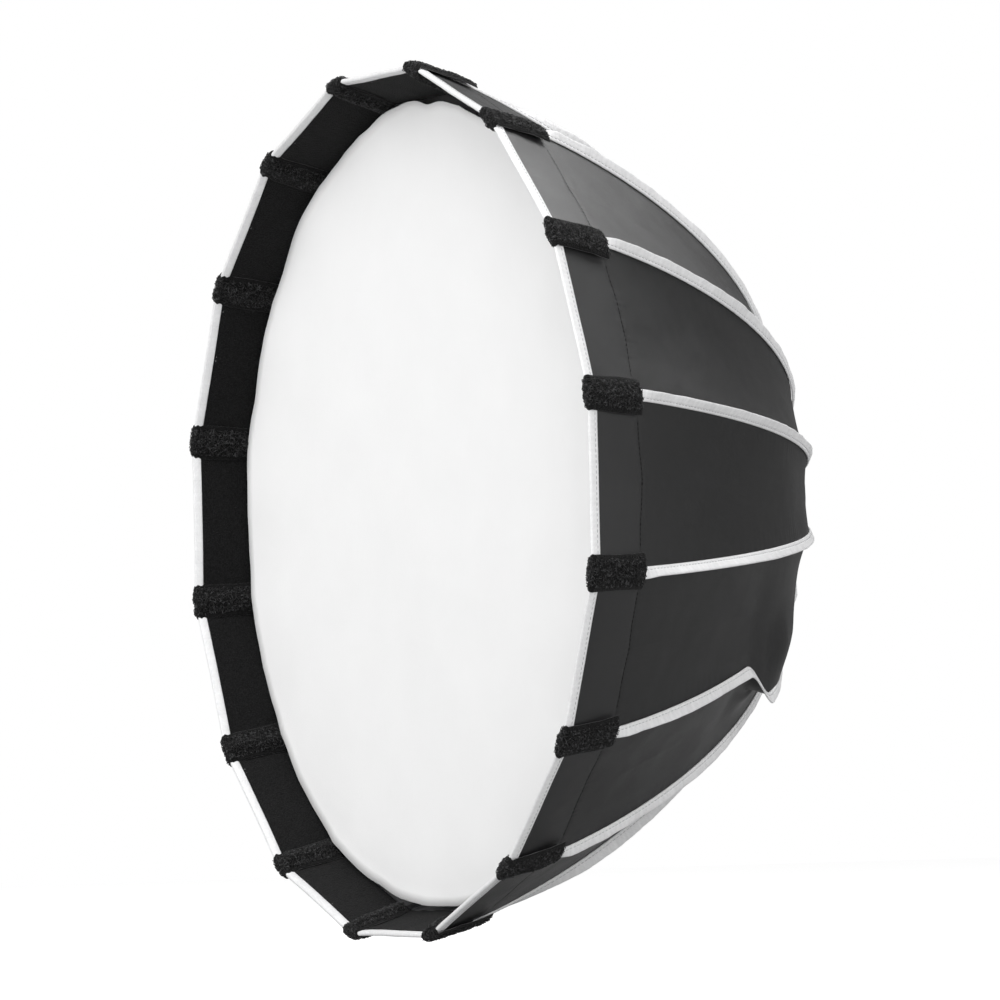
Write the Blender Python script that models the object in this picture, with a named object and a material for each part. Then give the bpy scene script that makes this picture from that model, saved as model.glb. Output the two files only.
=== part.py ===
"""Quick-opening deep octabox: a sprung frame of sixteen ribs on a hinged speedring, under a fabric cover.

Everything is in metres. +Y runs along the optical axis towards the light head, the rim faces -Y,
+Z is up, and the origin is on the axis at the face that the light head seats against. Each rib
stands at its own angle round the axis, and is drawn first in the plane of angle 0, where X is the
distance from the axis, then turned into place.
"""

import math

import bmesh
import bpy
from mathutils import Matrix, Vector

MM = 0.001

# Overall shape
RIB_COUNT = 16
RIM_RADIUS = 300 * MM  # axis to a rib's tip, on the cloth
DEPTH = 285 * MM  # rim plane to the light head's seat
HUB_OPENING_DEPTH = 8 * MM
RADIUS_POWER = 1.83  # how full the dish is
DEPTH_POWER = 1.2
RIB_STEPS = 12

# Clearances
AIR = 0.3 * MM  # between parts that touch
SLIDE_GAP = 0.7 * MM
SLOT_GAP = 0.4 * MM

# Rib hinge
PIVOT_RADIUS = 80 * MM
PIVOT_Y = -18 * MM
WIRE_RADIUS = 1.2 * MM
HOLDER_WIDTH = 5.8 * MM
HOLDER_EYE_RADIUS = 4.2 * MM
ARM_LENGTH = 14 * MM
ARM_HALF = 3.4 * MM
ARM_TILT = math.radians(-9.5)
TAIL_LENGTH = 14 * MM
TAIL_HALF = 1.5 * MM
TAIL_TIP_RADIUS = 1.9 * MM
FOLD_ANGLE = math.radians(39)
TAIL_TILT = -FOLD_ANGLE / 2

# Speedring
BORE_RADIUS = 49 * MM
HOUSING_RADIUS = PIVOT_RADIUS + 10 * MM
PLATE_FRONT = -8 * MM
PLATE_BACK = -2 * MM
TUBE_WALL = 2.5 * MM
TUBE_FRONT = -34 * MM
BLOCK_INNER_RADIUS = PIVOT_RADIUS - 7.5 * MM
SLOT_FLOOR = -10 * MM

# Ribs and cover
ROD_RADIUS = 1.75 * MM
ROD_INSET = 4 * MM  # cloth face to the rod's centre line
SOCKET_DEPTH = 7 * MM
CLOTH = 1 * MM
HUB_OPENING_RADIUS = PIVOT_RADIUS + 2 * MM  # where the rib's curve would end, over the hub
CANOPY_INNER_RADIUS = HOUSING_RADIUS + 6 * MM

# Locking collar
COLLAR_HALF = 4.5 * MM
GROOVE_DEPTH = 3.2 * MM

# Front cover ring of the hinge
COVER_FRONT = -30 * MM
COVER_WEB = 2.8 * MM
COVER_WEB_RADIUS = PIVOT_RADIUS + 0.5 * MM

# Release buttons
BUTTON_RADIUS = 5 * MM
BUTTON_CENTRE = PIVOT_RADIUS + 1 * MM
BUTTON_PROUD = 1.6 * MM
BUTTON_BOTTOM = -8 * MM
BUTTON_WELL_FLOOR = -14 * MM
SPRING_WIRE = 0.4 * MM
SPRING_TURNS = 3.5

# Bayonet adapter
SPIGOT_FRONT = -20 * MM
ADAPTER_BORE = 46 * MM
FLANGE_RADIUS = 66 * MM
SLEEVE_BACK = 9 * MM
LUG_REACH = 5 * MM
LUG_THICKNESS = 4 * MM
LUG_SPREAD = math.radians(36)

# Diffusers
FRONT_DIFFUSER_RADIUS = 274 * MM
FRONT_DIFFUSER_RECESS = 40 * MM
INNER_DIFFUSER_RADIUS = 176 * MM
INNER_DIFFUSER_RECESS = 155 * MM

RIB_STEP = 2 * math.pi / RIB_COUNT
HALF_STEP = RIB_STEP / 2


def finish(obj, colour, roughness, metallic=0.0):
    """Give the object its own plain material."""
    material = bpy.data.materials.new(obj.name + "_material")
    material.use_nodes = True
    shader = material.node_tree.nodes["Principled BSDF"]
    shader.inputs["Base Color"].default_value = (*colour, 1.0)
    shader.inputs["Roughness"].default_value = roughness
    shader.inputs["Metallic"].default_value = metallic
    obj.data.materials.clear()
    obj.data.materials.append(material)
    return obj


def mesh_object(name, points, faces):
    """A closed mesh with its faces turned outwards."""
    mesh = bpy.data.meshes.new(name)
    mesh.from_pydata([tuple(p) for p in points], [], faces)
    work = bmesh.new()
    work.from_mesh(mesh)
    bmesh.ops.recalc_face_normals(work, faces=work.faces)
    work.to_mesh(mesh)
    work.free()
    obj = bpy.data.objects.new(name, mesh)
    bpy.context.scene.collection.objects.link(obj)
    return obj


def turned(name, outline, sides):
    """A closed ring whose section is the outline of (radius, y) points."""
    count = len(outline)
    points = []
    faces = []
    for side in range(sides):
        angle = 2 * math.pi * side / sides
        for radius, y in outline:
            points.append((radius * math.cos(angle), y, radius * math.sin(angle)))
        here = side * count
        there = (side + 1) % sides * count
        for k in range(count):
            after = (k + 1) % count
            faces.append((here + k, here + after, there + after, there + k))
    return mesh_object(name, points, faces)


def tube(name, path, radius, sides, looped=False):
    """A round bar along a path, capped unless it runs back into its own start."""
    path = [Vector(p) for p in path]
    count = len(path)
    points = []
    faces = []
    across = None
    for k in range(count):
        before = path[k - 1] if k or looped else path[0]
        after = path[(k + 1) % count] if k < count - 1 or looped else path[-1]
        along = (after - before).normalized()
        if across is None:
            across = along.cross(Vector((0, 1, 0)))
            if across.length < 0.1:
                across = along.cross(Vector((0, 0, 1)))
        across = (across - along * across.dot(along)).normalized()
        other = along.cross(across)
        for side in range(sides):
            angle = 2 * math.pi * side / sides
            points.append(path[k] + radius * (math.cos(angle) * across + math.sin(angle) * other))
    for k in range(count if looped else count - 1):
        here = k * sides
        there = (k + 1) % count * sides
        for side in range(sides):
            after = (side + 1) % sides
            faces.append((here + side, here + after, there + after, there + side))
    if not looped:
        faces.append(tuple(range(sides)))
        faces.append(tuple(range((count - 1) * sides, count * sides)))
    return mesh_object(name, points, faces)


def plate(name, outline, width):
    """A flat bar in the rib's plane: an outline of (x, y) points, centred on z = 0."""
    count = len(outline)
    points = [(x, y, -width / 2) for x, y in outline]
    points += [(x, y, width / 2) for x, y in outline]
    faces = [tuple(range(count)), tuple(range(count, 2 * count))]
    for k in range(count):
        after = (k + 1) % count
        faces.append((k, after, after + count, k + count))
    return mesh_object(name, points, faces)


def disc(name, radius, y_front, y_back, sides, first_angle):
    """A flat many-sided disc across the axis."""
    points = []
    for y in (y_front, y_back):
        for side in range(sides):
            angle = first_angle + 2 * math.pi * side / sides
            points.append((radius * math.cos(angle), y, radius * math.sin(angle)))
    faces = [tuple(range(sides)), tuple(range(sides, 2 * sides))]
    for side in range(sides):
        after = (side + 1) % sides
        faces.append((side, after, after + sides, side + sides))
    return mesh_object(name, points, faces)


def box_between(name, low, high):
    """A box from its low corner to its high corner."""
    outline = [(low[0], low[1]), (high[0], low[1]), (high[0], high[1]), (low[0], high[1])]
    obj = plate(name, outline, high[2] - low[2])
    obj.data.transform(Matrix.Translation((0, 0, (low[2] + high[2]) / 2)))
    return obj


def turn(obj, angle):
    """Turn the mesh about the optical axis, from the plane of angle 0 to the given angle."""
    obj.data.transform(Matrix.Rotation(-angle, 4, "Y"))
    return obj


def joined(name, pieces):
    """One mesh that holds the pieces' separate shells, for use as a cutter."""
    work = bmesh.new()
    for piece in pieces:
        work.from_mesh(piece.data)
        bpy.data.objects.remove(piece)
    mesh = bpy.data.meshes.new(name)
    work.to_mesh(mesh)
    work.free()
    obj = bpy.data.objects.new(name, mesh)
    bpy.context.scene.collection.objects.link(obj)
    return obj


def boolean(obj, tool, operation):
    """Apply one Boolean and drop the tool."""
    modifier = obj.modifiers.new("cut", "BOOLEAN")
    modifier.operation = operation
    modifier.solver = "EXACT"
    modifier.object = tool
    graph = bpy.context.evaluated_depsgraph_get()
    mesh = bpy.data.meshes.new_from_object(obj.evaluated_get(graph))
    obj.modifiers.clear()
    obj.data = mesh
    bpy.data.objects.remove(tool)
    return obj


def rib_angle(index):
    return HALF_STEP + RIB_STEP * index


def rib_point(turn_share):
    """A point of the rib's curve as (radius, y), from the rim at 0 to the hub at 1."""
    t = turn_share * math.pi / 2
    reach = math.cos(t) ** (2 / RADIUS_POWER)
    back = math.sin(t) ** (2 / DEPTH_POWER)
    radius = HUB_OPENING_RADIUS + (RIM_RADIUS - HUB_OPENING_RADIUS) * reach
    y = -DEPTH + (DEPTH - HUB_OPENING_DEPTH) * back
    return Vector((radius, y))


def rib_inward(turn_share):
    """The unit vector across the rib's curve, towards the inside of the dish."""
    step = 0.002
    along = rib_point(min(turn_share + step, 1)) - rib_point(max(turn_share - step, 0))
    along.normalize()
    return Vector((-along.y, along.x))


def share_at_radius(radius):
    """Where along the curve the rib has this radius."""
    reach = (radius - HUB_OPENING_RADIUS) / (RIM_RADIUS - HUB_OPENING_RADIUS)
    return math.acos(reach ** (RADIUS_POWER / 2)) / (math.pi / 2)


def arc(centre, radius, start, end, steps):
    """Points on an arc in the rib's plane."""
    points = []
    for k in range(steps + 1):
        angle = start + (end - start) * k / steps
        points.append((centre[0] + radius * math.cos(angle), centre[1] + radius * math.sin(angle)))
    return points


for old in list(bpy.data.objects):
    bpy.data.objects.remove(old)

# Hinge wire: one sixteen-sided ring that every rod holder turns on. Its bends lie between holders.
wire_corner = PIVOT_RADIUS / math.cos(HALF_STEP)
wire_path = []
for index in range(RIB_COUNT):
    angle = RIB_STEP * index
    wire_path.append((wire_corner * math.cos(angle), PIVOT_Y, wire_corner * math.sin(angle)))
finish(tube("hinge_wire", wire_path, WIRE_RADIUS, 8, looped=True), (0.45, 0.45, 0.46), 0.35, 0.9)


def slot_cutters(front, back, inner, outer):
    """Sixteen slots that run out along the ribs."""
    half = HOLDER_WIDTH / 2 + SLOT_GAP
    slots = []
    for index in range(RIB_COUNT):
        slot = box_between("slot", (inner, front, -half), (outer, back, half))
        slots.append(turn(slot, rib_angle(index)))
    return joined("slots", slots)


# Speedring housing: tube, back plate and the rear half of the hinge block, slotted for each rib.
# The wire drops into a groove in the block's front face, and the cover ring holds it there.
tube_outer = BORE_RADIUS + TUBE_WALL
block_front = PIVOT_Y - WIRE_RADIUS
housing = turned(
    "speedring_housing",
    [
        (BORE_RADIUS, TUBE_FRONT),
        (tube_outer, TUBE_FRONT),
        (tube_outer, PLATE_FRONT),
        (BLOCK_INNER_RADIUS, PLATE_FRONT),
        (BLOCK_INNER_RADIUS, block_front),
        (HOUSING_RADIUS, block_front),
        (HOUSING_RADIUS, PLATE_BACK),
        (BORE_RADIUS, PLATE_BACK),
    ],
    64,
)
boolean(
    housing,
    slot_cutters(block_front - 2 * MM, SLOT_FLOOR, BLOCK_INNER_RADIUS - 2 * MM, HOUSING_RADIUS + 2 * MM),
    "DIFFERENCE",
)
groove_side = (WIRE_RADIUS + AIR) / math.cos(HALF_STEP)
groove = turned(
    "groove",
    [
        (wire_corner - groove_side, block_front - 2 * MM),
        (wire_corner + groove_side, block_front - 2 * MM),
        (wire_corner + groove_side, PIVOT_Y + WIRE_RADIUS + AIR),
        (wire_corner - groove_side, PIVOT_Y + WIRE_RADIUS + AIR),
    ],
    RIB_COUNT,
)
boolean(housing, groove, "DIFFERENCE")
wells = []
for angle in (0, math.pi):
    well = disc("well", BUTTON_RADIUS + AIR, BUTTON_WELL_FLOOR, PLATE_BACK + 2 * MM, 24, 0)
    well.data.transform(Matrix.Translation((BUTTON_CENTRE, 0, 0)))
    wells.append(turn(well, angle))
boolean(housing, joined("wells", wells), "DIFFERENCE")
finish(housing, (0.035, 0.035, 0.037), 0.5)

# Cover ring: the front half of the hinge block. A web across its front keeps it in one piece.
cover_back = block_front - AIR
cover = turned(
    "ring_cover",
    [
        (BLOCK_INNER_RADIUS, COVER_FRONT),
        (HOUSING_RADIUS, COVER_FRONT),
        (HOUSING_RADIUS, cover_back),
        (BLOCK_INNER_RADIUS, cover_back),
    ],
    64,
)
boolean(
    cover,
    slot_cutters(
        COVER_FRONT + COVER_WEB, cover_back + 2 * MM, BLOCK_INNER_RADIUS - 2 * MM, HOUSING_RADIUS + 2 * MM
    ),
    "DIFFERENCE",
)
boolean(
    cover,
    slot_cutters(COVER_FRONT - 2 * MM, cover_back + 2 * MM, COVER_WEB_RADIUS, HOUSING_RADIUS + 2 * MM),
    "DIFFERENCE",
)
finish(cover, (0.04, 0.04, 0.042), 0.45)

# Locking collar: it slides on the tube, and the holders' tails ride in its groove.
collar_y = PIVOT_Y + TAIL_LENGTH * math.sin(TAIL_TILT)
collar_inner = tube_outer + SLIDE_GAP
collar_outer = PIVOT_RADIUS - TAIL_LENGTH * math.cos(TAIL_TILT) + 0.2 * MM
groove_half = TAIL_TIP_RADIUS + AIR
collar = turned(
    "lock_collar",
    [
        (collar_inner, collar_y - COLLAR_HALF),
        (collar_outer, collar_y - COLLAR_HALF),
        (collar_outer, collar_y - groove_half),
        (collar_outer - GROOVE_DEPTH, collar_y - groove_half),
        (collar_outer - GROOVE_DEPTH, collar_y + groove_half),
        (collar_outer, collar_y + groove_half),
        (collar_outer, collar_y + COLLAR_HALF),
        (collar_inner, collar_y + COLLAR_HALF),
    ],
    64,
)
finish(collar, (0.62, 0.62, 0.64), 0.3, 0.9)

# Bayonet adapter: flange on the housing, spigot in its bore, and a lugged sleeve for the light head.
adapter_front = PLATE_BACK + AIR
spigot_outer = BORE_RADIUS - AIR
sleeve_outer = BORE_RADIUS + 1 * MM
adapter = turned(
    "bayonet_adapter",
    [
        (ADAPTER_BORE, SPIGOT_FRONT),
        (spigot_outer, SPIGOT_FRONT),
        (spigot_outer, adapter_front),
        (FLANGE_RADIUS, adapter_front),
        (FLANGE_RADIUS, 0),
        (sleeve_outer, 0),
        (sleeve_outer, SLEEVE_BACK),
        (ADAPTER_BORE, SLEEVE_BACK),
    ],
    64,
)
for lug_index in range(3):
    middle = math.pi / 2 + lug_index * 2 * math.pi / 3
    angles = [middle + LUG_SPREAD * (k / 6 - 0.5) for k in range(7)]
    inner = sleeve_outer - 1.5 * MM
    outer = sleeve_outer + LUG_REACH
    lug_points = []
    for y in (SLEEVE_BACK - LUG_THICKNESS, SLEEVE_BACK - 0.4 * MM):
        for angle in angles:
            lug_points.append((inner * math.cos(angle), y, inner * math.sin(angle)))
        for angle in reversed(angles):
            lug_points.append((outer * math.cos(angle), y, outer * math.sin(angle)))
    ring = len(lug_points) // 2
    lug_faces = [tuple(range(ring)), tuple(range(ring, 2 * ring))]
    for k in range(ring):
        after = (k + 1) % ring
        lug_faces.append((k, after, after + ring, k + ring))
    boolean(adapter, mesh_object("lug", lug_points, lug_faces), "UNION")
finish(adapter, (0.55, 0.55, 0.57), 0.35, 0.9)

# Release buttons in the housing's back, each on a coil spring.
for side, angle in (("right", 0.0), ("left", math.pi)):
    button = disc("release_button_" + side, BUTTON_RADIUS, BUTTON_BOTTOM, PLATE_BACK + BUTTON_PROUD, 24, 0)
    button.data.transform(Matrix.Translation((BUTTON_CENTRE, 0, 0)))
    finish(turn(button, angle), (0.12, 0.12, 0.125), 0.45)
    low = BUTTON_WELL_FLOOR + AIR + SPRING_WIRE
    high = BUTTON_BOTTOM - AIR - SPRING_WIRE
    coil = []
    steps = int(SPRING_TURNS * 10)
    for k in range(steps + 1):
        around = 2 * math.pi * SPRING_TURNS * k / steps
        coil.append((3.4 * MM * math.cos(around), low + (high - low) * k / steps, 3.4 * MM * math.sin(around)))
    spring = tube("release_spring_" + side, coil, SPRING_WIRE, 5)
    spring.data.transform(Matrix.Translation((BUTTON_CENTRE, 0, 0)))
    finish(turn(spring, angle), (0.6, 0.6, 0.62), 0.3, 0.9)

# Rod holder: a bell crank, drawn once in the plane of angle 0 and copied round.
pivot = (PIVOT_RADIUS, PIVOT_Y)
tail_tip = (
    pivot[0] - TAIL_LENGTH * math.cos(TAIL_TILT),
    pivot[1] + TAIL_LENGTH * math.sin(TAIL_TILT),
)
tail_out = math.pi - TAIL_TILT
arm_end = (pivot[0] + ARM_LENGTH * math.cos(ARM_TILT), pivot[1] + ARM_LENGTH * math.sin(ARM_TILT))
arm_side = Vector((-math.sin(ARM_TILT), math.cos(ARM_TILT))) * ARM_HALF
arm_spread = math.asin(ARM_HALF / HOLDER_EYE_RADIUS)
tail_spread = math.asin(TAIL_HALF / HOLDER_EYE_RADIUS)
tip_spread = math.asin(TAIL_HALF / TAIL_TIP_RADIUS)
holder_outline = [(arm_end[0] - arm_side.x, arm_end[1] - arm_side.y), (arm_end[0] + arm_side.x, arm_end[1] + arm_side.y)]
holder_outline += arc(pivot, HOLDER_EYE_RADIUS, ARM_TILT + arm_spread, tail_out - tail_spread, 4)
holder_outline += arc(tail_tip, TAIL_TIP_RADIUS, tail_out - math.pi + tip_spread, tail_out + math.pi - tip_spread, 8)
holder_outline += arc(pivot, HOLDER_EYE_RADIUS, tail_out + tail_spread, 2 * math.pi + ARM_TILT - arm_spread, 4)
holder_master = plate("holder_master", holder_outline, HOLDER_WIDTH)
eye = disc("eye", WIRE_RADIUS + AIR, -HOLDER_WIDTH, HOLDER_WIDTH, 12, 0)
eye.data.transform(Matrix.Rotation(math.pi / 2, 4, "X"))
eye.data.transform(Matrix.Translation((pivot[0], pivot[1], 0)))
boolean(holder_master, eye, "DIFFERENCE")
arm_direction = Vector((math.cos(ARM_TILT), math.sin(ARM_TILT)))
socket_start = Vector(arm_end) - arm_direction * (SOCKET_DEPTH + AIR)
socket_end = Vector(arm_end) + arm_direction * 2 * MM
socket = tube(
    "socket", [(socket_start.x, socket_start.y, 0), (socket_end.x, socket_end.y, 0)], ROD_RADIUS + AIR, 12
)
boolean(holder_master, socket, "DIFFERENCE")

# Rod: from the socket, across to the cloth, then along the inside of the cover to the rim.
rod_start = Vector(arm_end) - arm_direction * SOCKET_DEPTH
rod_leave = Vector(arm_end) + arm_direction * 4 * MM
share_join = share_at_radius(132 / 300 * RIM_RADIUS)
rod_path = [rod_start, rod_leave]
for k in range(RIB_STEPS):
    share = share_join * (1 - k / (RIB_STEPS - 1)) + 0.02 * k / (RIB_STEPS - 1)
    rod_path.append(rib_point(share) + rib_inward(share) * ROD_INSET)

# Gore of the cover: the strip that one rib carries, from the middle of one panel to the middle of the next.
share_hub = share_at_radius(CANOPY_INNER_RADIUS)
gore_points = []
for k in range(RIB_STEPS + 1):
    share = share_hub * k / RIB_STEPS
    outside = rib_point(share)
    for here in (outside, outside + rib_inward(share) * CLOTH):
        flank = here.x * math.cos(HALF_STEP)
        edge_x = flank * math.cos(HALF_STEP) + AIR / 2 * math.sin(HALF_STEP)
        edge_z = flank * math.sin(HALF_STEP) - AIR / 2 * math.cos(HALF_STEP)
        gore_points += [(edge_x, here.y, -edge_z), (here.x, here.y, 0), (edge_x, here.y, edge_z)]
gore_faces = [(0, 1, 4, 3), (1, 2, 5, 4)]
last = 6 * RIB_STEPS
gore_faces += [(last, last + 3, last + 4, last + 1), (last + 1, last + 4, last + 5, last + 2)]
for k in range(RIB_STEPS):
    a = 6 * k
    b = a + 6
    for here, after in ((0, 1), (1, 2), (2, 5), (5, 4), (4, 3), (3, 0)):
        gore_faces.append((a + here, b + here, b + after, a + after))

for index in range(RIB_COUNT):
    number = f"{index + 1:02d}"
    angle = rib_angle(index)
    holder = bpy.data.objects.new("rod_holder_" + number, holder_master.data.copy())
    bpy.context.scene.collection.objects.link(holder)
    finish(turn(holder, angle), (0.05, 0.05, 0.052), 0.45)
    rod = tube("rod_" + number, [(p.x, p.y, 0) for p in rod_path], ROD_RADIUS, 6)
    finish(turn(rod, angle), (0.5, 0.5, 0.52), 0.3, 0.95)
    gore = mesh_object("canopy_gore_" + number, gore_points, gore_faces)
    finish(turn(gore, angle), (0.05, 0.05, 0.052), 0.7)
bpy.data.objects.remove(holder_master)

# Diffusers, each a flat sixteen-sided cloth.
front_y = -DEPTH + FRONT_DIFFUSER_RECESS
finish(
    disc("front_diffuser", FRONT_DIFFUSER_RADIUS, front_y, front_y + CLOTH, RIB_COUNT, HALF_STEP),
    (0.9, 0.9, 0.9),
    0.8,
)
inner_y = -DEPTH + INNER_DIFFUSER_RECESS
finish(
    disc("inner_diffuser", INNER_DIFFUSER_RADIUS, inner_y, inner_y + CLOTH, RIB_COUNT, HALF_STEP),
    (0.88, 0.88, 0.88),
    0.8,
)
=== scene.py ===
import math

import bmesh
import bpy
import numpy as np
from mathutils import Matrix, Vector, noise


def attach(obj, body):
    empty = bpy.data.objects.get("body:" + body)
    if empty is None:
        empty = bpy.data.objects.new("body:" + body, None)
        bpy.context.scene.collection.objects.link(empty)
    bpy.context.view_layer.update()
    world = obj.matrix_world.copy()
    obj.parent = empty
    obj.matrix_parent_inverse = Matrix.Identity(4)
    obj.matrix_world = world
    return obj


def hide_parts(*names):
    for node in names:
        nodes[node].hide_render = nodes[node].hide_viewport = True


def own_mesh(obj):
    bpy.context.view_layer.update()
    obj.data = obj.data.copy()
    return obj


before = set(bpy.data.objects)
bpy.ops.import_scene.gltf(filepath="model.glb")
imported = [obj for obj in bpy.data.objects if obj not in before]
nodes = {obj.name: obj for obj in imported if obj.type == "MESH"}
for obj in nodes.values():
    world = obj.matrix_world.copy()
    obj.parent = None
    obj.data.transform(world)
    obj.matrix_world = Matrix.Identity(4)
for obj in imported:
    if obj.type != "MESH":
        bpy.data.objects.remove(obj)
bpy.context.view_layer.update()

# Speedring: a glass-filled nylon housing and cover ring, moulded with a fine spark texture, round a
# turned aluminium bayonet. The light head's three-lug mount takes the weight of the whole box.
MM = 0.001
TAU = 2 * math.pi
RIB_COUNT = 16
STEP = TAU / RIB_COUNT
AXIAL = np.array([0, 1.0, 0])
RIB_NUMBERS = [f"{k + 1:02d}" for k in range(RIB_COUNT)]


def rib_angle(k):
    return STEP / 2 + STEP * k


def rib_axes(rib):
    """Unit vectors out from the axis along a rib, and round the box at it."""
    angle = rib_angle(rib)
    return np.array([math.cos(angle), 0, math.sin(angle)]), np.array([-math.sin(angle), 0, math.cos(angle)])


def feed(tree, node, values):
    """Gives a node's sockets, by name or place, plain values or other nodes' outputs."""
    for label, value in values.items():
        socket = node.inputs[label]
        if isinstance(value, bpy.types.NodeSocket):
            tree.links.new(value, socket)
        else:
            socket.default_value = (*value, 1) if socket.type == "RGBA" else value


def add_node(tree, kind, values=None, **settings):
    """A node with its settings made, and then its sockets fed."""
    node = tree.nodes.new(kind)
    for label, value in settings.items():
        setattr(node, label, value)
    feed(tree, node, values or {})
    return node


def new_material(name, colour, roughness, values=None):
    """A material, its node tree, and its Principled shader with plain values set."""
    material = bpy.data.materials.new(name)
    material.use_nodes = True
    shader = material.node_tree.nodes["Principled BSDF"]
    feed(material.node_tree, shader, {"Base Color": colour, "Roughness": roughness, **(values or {})})
    return material, material.node_tree, shader


def new_group(name, inputs, outputs, kind="ShaderNodeTree"):
    """A node group with its sockets, and its two end nodes."""
    group = bpy.data.node_groups.new(name, kind)
    for label, socket, value in inputs:
        made = group.interface.new_socket(label, in_out="INPUT", socket_type="NodeSocket" + socket)
        if value is not None:
            made.default_value = value
    for label, socket in outputs:
        group.interface.new_socket(label, in_out="OUTPUT", socket_type="NodeSocket" + socket)
    return group, group.nodes.new("NodeGroupInput"), group.nodes.new("NodeGroupOutput")


def math_node(tree, operation, *operands):
    return add_node(tree, "ShaderNodeMath", dict(enumerate(operands)), operation=operation).outputs[0]


def noise_node(tree, vector, scale, detail=2.0):
    values = {"Vector": vector, "Scale": scale, "Detail": detail, "Roughness": 0.5}
    return add_node(tree, "ShaderNodeTexNoise", values).outputs["Fac"]


def map_range(tree, value, low, high, out_low=0.0, out_high=1.0):
    values = {"Value": value, "From Min": low, "From Max": high, "To Min": out_low, "To Max": out_high}
    return add_node(tree, "ShaderNodeMapRange", values).outputs[0]


def mix_colour(tree, share, first, second):
    return add_node(tree, "ShaderNodeMix", {0: share, 6: first, 7: second}, data_type="RGBA").outputs[2]


def bump_normal(tree, height, distance, values=None):
    values = {"Strength": 1.0, "Distance": distance, "Height": height, **(values or {})}
    return add_node(tree, "ShaderNodeBump", values).outputs["Normal"]


def add_object(name, data):
    obj = bpy.data.objects.new(name, data)
    bpy.context.scene.collection.objects.link(obj)
    return obj


def object_coordinates(tree):
    return tree.nodes.new("ShaderNodeTexCoord").outputs["Object"]


def moulded_group():
    """Fine moulded or blasted grain, with hand-polished patches."""
    group, start, end = new_group(
        "grained_surface",
        [("Vector", "Vector", None), ("Grain", "Float", 2600.0), ("Colour", "Color", None),
         ("Worn Colour", "Color", None), ("Roughness", "Float", 0.5)],
        [("Colour", "Color"), ("Roughness", "Float"), ("Height", "Float")],
    )
    vector = start.outputs["Vector"]
    grain = noise_node(group, vector, start.outputs["Grain"], 3.0)
    patches = noise_node(group, vector, 38.0, 4.0)
    handled = map_range(group, patches, 0.45, 0.75)
    rough = math_node(group, "MULTIPLY_ADD", grain, 0.16, start.outputs["Roughness"])
    feed(group, end, {
        "Colour": mix_colour(group, handled, start.outputs["Colour"], start.outputs["Worn Colour"]),
        "Roughness": math_node(group, "MULTIPLY_ADD", handled, -0.1, rough),
        "Height": grain,
    })
    return group


grained_surface = moulded_group()


def grained_material(name, colour, worn, roughness, grain=2600.0, metallic=0.0, depth=0.00006):
    material, tree, shader = new_material(name, colour, roughness, {"Metallic": metallic})
    surface = add_node(tree, "ShaderNodeGroup", {
        "Vector": object_coordinates(tree), "Grain": grain, "Colour": colour,
        "Worn Colour": worn, "Roughness": roughness - 0.05,
    }, node_tree=grained_surface)
    feed(tree, shader, {
        "Base Color": surface.outputs["Colour"],
        "Roughness": surface.outputs["Roughness"],
        "Normal": bump_normal(tree, surface.outputs["Height"], depth),
    })
    return material


def turned_material(name, colour, roughness):
    """Turned aluminium: rings of fine tool marks round the optical axis."""
    material, tree, shader = new_material(name, colour, roughness, {"Metallic": 1.0})
    place = add_node(tree, "ShaderNodeSeparateXYZ", {0: object_coordinates(tree)})
    square = math_node(tree, "MULTIPLY", place.outputs["X"], place.outputs["X"])
    both = math_node(tree, "MULTIPLY_ADD", place.outputs["Z"], place.outputs["Z"], square)
    radius = math_node(tree, "SQRT", both)
    reach = math_node(tree, "ADD", radius, place.outputs["Y"])
    rings = add_node(tree, "ShaderNodeTexNoise", {"W": reach, "Scale": 5200, "Detail": 2},
                     noise_dimensions="1D")
    feed(tree, shader, {
        "Roughness": map_range(tree, rings.outputs["Fac"], 0.3, 0.7, roughness - 0.07, roughness + 0.12),
        "Normal": bump_normal(tree, rings.outputs["Fac"], 0.00002),
    })
    return material


def dress(node, material):
    nodes[node].data.materials.clear()
    nodes[node].data.materials.append(material)


nylon = grained_material("speedring_nylon", (0.017, 0.017, 0.018), (0.03, 0.03, 0.031), 0.52)
for node in ("speedring_housing", "ring_cover"):
    dress(node, nylon)
bayonet_aluminium = turned_material("bayonet_aluminium", (0.56, 0.56, 0.58), 0.32)
dress("bayonet_adapter", bayonet_aluminium)

# Hinge and lock: a spring-steel wire ring that all the holders turn on, an aluminium collar that slides
# on the housing's tube, and two moulded release buttons, each on its coil spring.
drawn_steel = grained_material(
    "drawn_steel", (0.48, 0.48, 0.5), (0.56, 0.56, 0.57), 0.34, 900.0, 1.0, 0.00001)
dress("hinge_wire", drawn_steel)
dress("lock_collar", turned_material("collar_aluminium", (0.66, 0.66, 0.68), 0.26))
button_grey = grained_material("button_grey", (0.10, 0.10, 0.105), (0.14, 0.14, 0.145), 0.42, 1800.0)
for side in ("left", "right"):
    dress("release_button_" + side, button_grey)
    dress("release_spring_" + side, drawn_steel)
    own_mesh(nodes["release_spring_" + side])

# Ribs: spring-steel rods, each pushed into the socket of a moulded holder.
holder_nylon = grained_material("holder_nylon", (0.02, 0.02, 0.021), (0.036, 0.036, 0.037), 0.48)
for number in RIB_NUMBERS:
    dress("rod_" + number, drawn_steel)
    dress("rod_holder_" + number, holder_nylon)

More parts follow.
